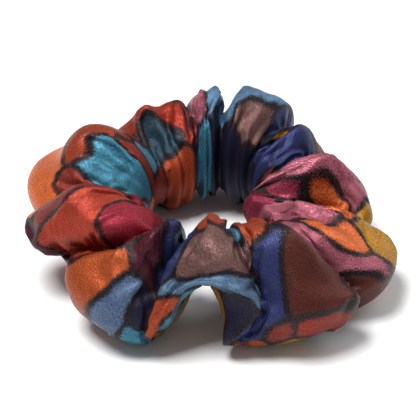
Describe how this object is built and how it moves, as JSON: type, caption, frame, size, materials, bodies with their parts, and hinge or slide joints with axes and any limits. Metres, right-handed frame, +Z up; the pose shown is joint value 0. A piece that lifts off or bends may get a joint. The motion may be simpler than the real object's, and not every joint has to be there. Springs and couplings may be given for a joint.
{
  "type": "hair scrunchie",
  "caption": "Satin hair scrunchie: a printed cloth tube gathered on a sewn loop of elastic, which stretches round a ponytail and springs back.",
  "frame": {"origin": "centre of the ring, on the surface it lies on", "axes": "+Z up through the opening; the ring lies in the XY plane; X is the way its two halves are drawn apart, and the elastic's lap is at -X"},
  "size_m": [0.1104, 0.1076, 0.036],
  "materials": {
    "printed_satin": "polyester satin printed with dark-outlined cells in orange, red, pink, brown, blue and teal",
    "elastic": "white braided elastic tape",
    "thread": "dark spun polyester sewing thread"
  },
  "bodies": {
    "left_half": {"cover_left": "printed_satin", "elastic_left": "elastic", "seam_thread_left": "thread", "lap_stitches": "thread", "closing_stitches": "thread"},
    "right_half": {"cover_right": "printed_satin", "elastic_right": "elastic", "seam_thread_right": "thread"}
  },
  "joints": [
    {"name": "stretch", "type": "slide", "parent": "left_half", "child": "right_half", "axis": [1, 0, 0], "range_m": [0, 0.08], "stiffness_N_per_m": 60}
  ]
}
